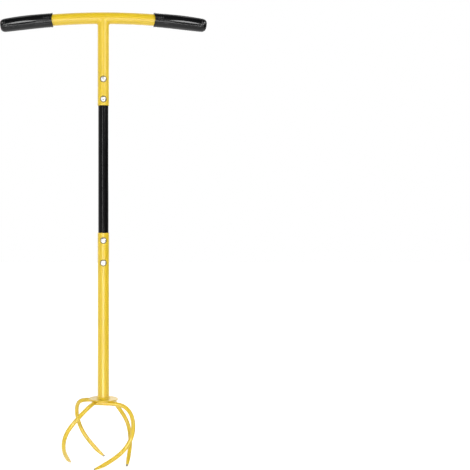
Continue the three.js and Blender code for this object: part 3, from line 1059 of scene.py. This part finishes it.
def addRootWeld(number, weld, tines):
    # A bead along the root in the corner under the plate: its radius fades at both ends and
    # ripples between them.
    low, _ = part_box("tine_plate")
    share = np.linspace(0, 1, weld.stations)
    start = tines.radius - tines.rootOffset + weld.radius
    fade = np.sin(math.pi * np.clip(share, *weld.fadeShares)) ** weld.fadePower
    ripple = 1 + weld.ripple * np.abs(np.sin(math.pi * weld.ripples * share))
    radius = (weld.radius * fade * ripple)[:, None]
    angle = anglesAround(weld.columns)[None, :]
    y = -tines.rootOffset - tines.radius * weld.seat + radius * np.cos(angle)
    z = low.z - weld.radius * weld.seat + radius * np.sin(angle)
    z = np.minimum(z, low.z - weld.plateGap)
    x = np.broadcast_to((start + weld.length * share)[:, None], z.shape)
    grid = turnedAboutZ(stacked(x, y, z), tines.turn - quarterTurn * number)
    addSurface(f"tine_weld_{number + 1}", "bead", grid, "yellow_paint", poles=True)


for number in range(tineCount):
    addRootWeld(number, rootWeld, tineShape)
print("tines made")

# Screws from the front, nuts behind
screwShape = named({
    "seat": 12.9 * mm,
    "headRadius": 5.7 * mm,
    "headHeight": 3.4 * mm,
    "domeShares": (0.42, 1),  # of the quarter turn from the middle of the head to its rim
    "domeRows": 14,
    "crownShare": 0.36,  # where the socket's mouth lies on it
    "rim": 0.7 * mm,
    "rimSoft": 0.12 * mm,
    "rimRise": (0.15 * mm, 0.03 * mm),
    "seatInset": 0.5 * mm,
    "socket": 4 * mm,
    "socketDepth": 2.2 * mm,
    "socketRound": 1.05,
    "socketFloor": (  # share of the socket's width, share of the hexagon and distance behind
        (0.15, 1, 0.25 * mm),
        (0.7, 1, 0.1 * mm),
        (0.98, 1, 0),
        (1.0, 1, -0.15 * mm),
    ),
    "socketMouth": ((1.0, 1, 0.25 * mm), (1.03, 1, 0.08 * mm), (1.1, 0.9, 0)),
    # share of painted shade on the socket's rows
    "socketGrime": 0.3,
    "shank": 3 * mm,
    "neck": 0.3 * mm,
    "neckLength": 0.2 * mm,
    "chamfer": 0.6 * mm,
    "tailMiddle": 0.3 * mm,
    "sharpDegrees": 38,
    "columns": 96,
})


def hexRadius(width, columns):
    # Distance from the middle to a hexagon's side at each angle: half the width over the cosine
    # to the side's middle.
    toSide = (anglesAround(columns) + math.pi / 6) % (math.pi / 3) - math.pi / 6
    return width / 2 / np.cos(toSide)


def laidAlongY(grid, height):
    # The turning axis is laid along Y and lifted to the screw's height.
    return stacked(grid[..., 0], grid[..., 2], height - grid[..., 1])


def addFastener(node, ending, hexRows, hexPlaces, plainRows, shape, **looks):
    # Rows whose radius changes round the axis come first, then rows of a plain radius and a place
    # along the axis.
    plainRadius, plainPlaces = np.array(plainRows).T
    plainRadius = np.repeat(plainRadius[:, None], shape.columns, axis=1)
    places = np.concatenate([hexPlaces, plainPlaces])
    grid = turned(np.vstack([hexRows, plainRadius]), places, shape.columns)
    grid = laidAlongY(grid, middleHeight(node))
    addSurface(node, ending, grid, "fastener", sharpDegrees=shape.sharpDegrees, **looks)


def addScrew(number, screw):
    # Rows run from the socket's floor over its wall, the domed head and the shank to the tail.
    # The hexagon's share of a row's outline falls from 1 in the socket to 0 on the dome.
    node = f"screw_{number + 1}"
    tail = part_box(node)[1].y
    seat, head, shank = -screw.seat, screw.headRadius, screw.shank
    dome = screw.headHeight - screw.rim
    floor = seat - screw.headHeight + screw.socketDepth
    crown = seat - screw.rim - dome * math.cos(screw.crownShare * quarterTurn)
    rows = [(wide, share, floor + back) for wide, share, back in screw.socketFloor]
    rows += [(wide, share, crown + back) for wide, share, back in screw.socketMouth]
    wide, mix, socketPlaces = np.array(rows).T[..., None]
    hexagon = hexRadius(screw.socket, screw.columns)[None, :]
    plainSocket = screw.socket / 2 * screw.socketRound
    socketRows = wide * (hexagon * mix + plainSocket * (1 - mix))
    quarter = np.linspace(*screw.domeShares, screw.domeRows) * quarterTurn
    high, low = screw.rimRise
    chamfer = screw.chamfer
    plainRows = [
        *zip(head * np.sin(quarter), seat - screw.rim - dome * np.cos(quarter)),
        (head, seat - high),
        (head - screw.rimSoft, seat - low),
        (head - screw.seatInset, seat),
        (shank + screw.neck, seat),
        (shank, seat + screw.neckLength),
        (shank, tail - chamfer),
        (shank - chamfer, tail),
        (screw.tailMiddle, tail),
    ]
    # Painted shade darkens the socket's rows.
    paintedShade = np.zeros((len(rows) + len(plainRows), 1))
    paintedShade[: len(rows) - 1] = screw.socketGrime
    looks = {"poles": True, "masks": {"paintedShade": paintedShade}}
    addFastener(node, "bolt", socketRows, socketPlaces[:, 0], plainRows, screw, **looks)


nutShape = named({
    "seat": 12.9 * mm,
    "width": 10 * mm,
    "height": 4.6 * mm,
    "cone": (0.515, 0.545, 0.577),  # radius of the chamfer's cone, as shares of the width
    "chamferBelow": (0.2 * mm, 0.5 * mm),
    "chamferAbove": (0.6 * mm, 0.25 * mm),
    "collar": 4.4 * mm,
    "collarHeight": 1.6 * mm,
    "collarFoot": 0.1 * mm,
    "collarSoft": 0.5 * mm,
    "bore": 3.2 * mm,
    "boreSoft": 0.35 * mm,
    "sharpDegrees": 30,
    "columns": 96,
})


def addNut(number, nut):
    # A closed outline: up the flats, over a chamfer that is the smaller of the hexagon and a
    # cone, round the collar and back down the bore.
    node = f"nut_{number + 1}"
    seat, top = nut.seat, nut.seat + nut.height
    end = top + nut.collarHeight
    cone = np.array(nut.cone + nut.cone[::-1])[:, None] * nut.width
    hexagon = hexRadius(nut.width, nut.columns)[None, :]
    flats = np.minimum(np.repeat(hexagon, len(cone), axis=0), cone)
    below = [seat + rise for rise in nut.chamferBelow]
    above = [top - fall for fall in nut.chamferAbove]
    collar, collarSoft, foot = nut.collar, nut.collarSoft, nut.collarFoot
    bore, soft = nut.bore, nut.boreSoft
    plainRows = [
        (collar + foot, top),
        (collar, top + foot),
        (collar, end - collarSoft),
        (collar - collarSoft, end),
        (bore + soft, end),
        (bore, end - soft),
        (bore, seat + soft),
        (bore + soft, seat),
    ]
    addFastener(node, "hex", flats, [seat, *below, *above, top], plainRows, nut)


for number in range(screwCount):
    addScrew(number, screwShape)
    addNut(number, nutShape)
print("screws and nuts made")

# Studio: a pale floor, a white surround that darkens overhead, and soft lamps
studio = named({
    "floorHalf": 9.0,
    "floorColour": (0.88, 0.88, 0.88),
    "floorRoughness": 0.9,
    "floorLift": 0.5,  # glow that only the camera and reflections see, round the tool
    "farLift": 0.9,  # and far away, where the floor meets the white surround
    "farStart": 1.0,
    "farEnd": 3.6,
    "farFull": 2.0,
    "frontShare": 0.1,  # share of the glow left in front of the tool, below the picture
    "frontStart": -0.6,
    "frontEnd": -0.2,
    "ceilingStart": 0.15,  # sine of the height in the sky where the surround starts to darken
    "ceilingEnd": 0.6,
    "ceilingShare": 0.15,
    "roomStart": -0.4,  # towards the front of here the surround's light is down to a share
    "roomEnd": 0.5,
    "roomShare": 0.42,
    "backdropStart": 0.1,  # how far to the back the white backdrop reaches up over the tool
    "backdropEnd": 0.5,
    "boardPlace": (1.5, -1.0, 0.0),  # a dark board at the right, which the tubes mirror
    "boardSize": (3.4, 0.95),
    "boardColour": (0.03, 0.03, 0.03),
    "lamps": (  # name, place, what it points at, width and height, watts
        ("leftLamp", (-2.1, -1.3, 2.5), (0.0, 0.0, 0.5), (1.4, 1.2), 23),
        ("rightLamp", (2.1, -1.3, 2.5), (0.0, 0.0, 0.5), (1.4, 1.2), 39),
        ("leftSlimLamp", (-0.78, -2.14, 0.77), (0.0, 0.0, 0.7), (0.26, 0.6), 6),
        ("leftLowLamp", (-0.35, -2.05, 0.17), (-0.18, 0.0, 0.95), (0.44, 0.36), 6),
        ("rightLowLamp", (0.35, -2.05, 0.17), (0.18, 0.0, 0.95), (0.44, 0.36), 6),
        ("leftHighLamp", (-0.75, -2.0, 1.3), (0.0, 0.0, 0.9), (0.3, 0.4), 3),
        ("rightHighLamp", (1.15, -1.8, 1.3), (0.0, 0.0, 0.9), (0.5, 0.4), 8),
        ("footLamp", (-0.1, -0.6, 0.045), (-0.02, 0.0, 0.1), (0.3, 0.08), 1.1),
        ("backLamp", (0.7, 2.4, 1.3), (0.0, 0.0, 0.6), (1.2, 1.2), 12),
    ),
    "gleamLamps": ("leftHighLamp", "rightHighLamp", "footLamp"),  # only seen in reflections
})
white = (1.0, 1.0, 1.0)


def addPanel(name, corners, material):
    mesh = bpy.data.meshes.new(name)
    mesh.from_pydata(corners, [], [(0, 1, 2, 3)])
    mesh.materials.append(material)
    panel = addObject(name, mesh)
    return panel


def addFloor(setup):
    # The glow is the lift, which grows with the distance from the tool, times the larger of two
    # ramps: one from front to back, and one that is full far away.
    material, tree, shader = newMaterial("paleFloor")
    path = addNode(tree, "ShaderNodeLightPath").outputs
    seen = maths(tree, "MAXIMUM", path["Is Camera Ray"], path["Is Glossy Ray"])
    seen = maths(tree, "MAXIMUM", seen, path["Is Transmission Ray"])
    place = objectPlace(tree)
    away = addNode(tree, "ShaderNodeVectorMath", {"operation": "LENGTH"}, {0: place})
    away = away.outputs["Value"]
    start = setup.farStart
    lift = ramp(tree, away, start, setup.farEnd, setup.floorLift, setup.farLift)
    depth = addNode(tree, "ShaderNodeSeparateXYZ", None, {"Vector": place}).outputs["Y"]
    front = ramp(tree, depth, setup.frontStart, setup.frontEnd, setup.frontShare, 1.0)
    far = ramp(tree, away, start, setup.farFull)
    lift = times(tree, lift, maths(tree, "MAXIMUM", front, far))
    feed(tree, shader, {
        "Base Color": setup.floorColour,
        "Roughness": setup.floorRoughness,
        "Specular IOR Level": 0.0,
        "Emission Color": white,
        "Emission Strength": times(tree, seen, lift),
    })
    half = setup.floorHalf
    corners = [(-half, -half, 0), (half, -half, 0), (half, half, 0), (-half, half, 0)]
    addPanel("floor", corners, material)


def addBoard(setup):
    material, tree, shader = newMaterial("darkBoard")
    feed(tree, shader, {"Base Color": setup.boardColour})
    across, up = setup.boardSize
    x, y, z = setup.boardPlace
    near, far = y - across / 2, y + across / 2
    corners = [(x, near, z), (x, far, z), (x, far, z + up), (x, near, z + up)]
    addPanel("board", corners, material).visible_camera = False


def addSurround(setup):
    # The level is the larger of the white backdrop behind and the room's light, which falls off
    # to the front and overhead.
    world = bpy.data.worlds.new("surround")
    bpy.context.scene.world = world
    world.use_nodes = True
    tree = world.node_tree
    direction = addNode(tree, "ShaderNodeTexCoord").outputs["Generated"]
    parts = addNode(tree, "ShaderNodeSeparateXYZ", None, {"Vector": direction}).outputs
    overhead = (setup.ceilingStart, setup.ceilingEnd, 1.0, setup.ceilingShare)
    ceiling = ramp(tree, parts["Z"], *overhead)
    room = ramp(tree, parts["Y"], setup.roomStart, setup.roomEnd, setup.roomShare, 1.0)
    backdrop = ramp(tree, parts["Y"], setup.backdropStart, setup.backdropEnd)
    level = maths(tree, "MAXIMUM", times(tree, ceiling, room), backdrop)
    feed(tree, tree.nodes["Background"].inputs, {"Color": white, "Strength": level})


def addLamps(setup):
    # Each lamp is tilted and turned from looking down to looking at its target.
    for name, place, target, size, power in setup.lamps:
        data = bpy.data.lights.new(name, "AREA")
        data.shape = "RECTANGLE"
        data.size, data.size_y = size
        data.energy = power
        lamp = addObject(name, data)
        lamp.location = place
        aim = np.array(target) - np.array(place)
        tilt = math.atan2(aim[2], math.hypot(aim[0], aim[1])) + quarterTurn
        turn = math.atan2(aim[1], aim[0]) - quarterTurn
        lamp.rotation_euler = (tilt, 0, turn)
        lamp.visible_diffuse = name not in setup.gleamLamps


addFloor(studio)
addBoard(studio)
addSurround(studio)
addLamps(studio)
bpy.context.scene.view_settings.view_transform = "Standard"
print("studio made")
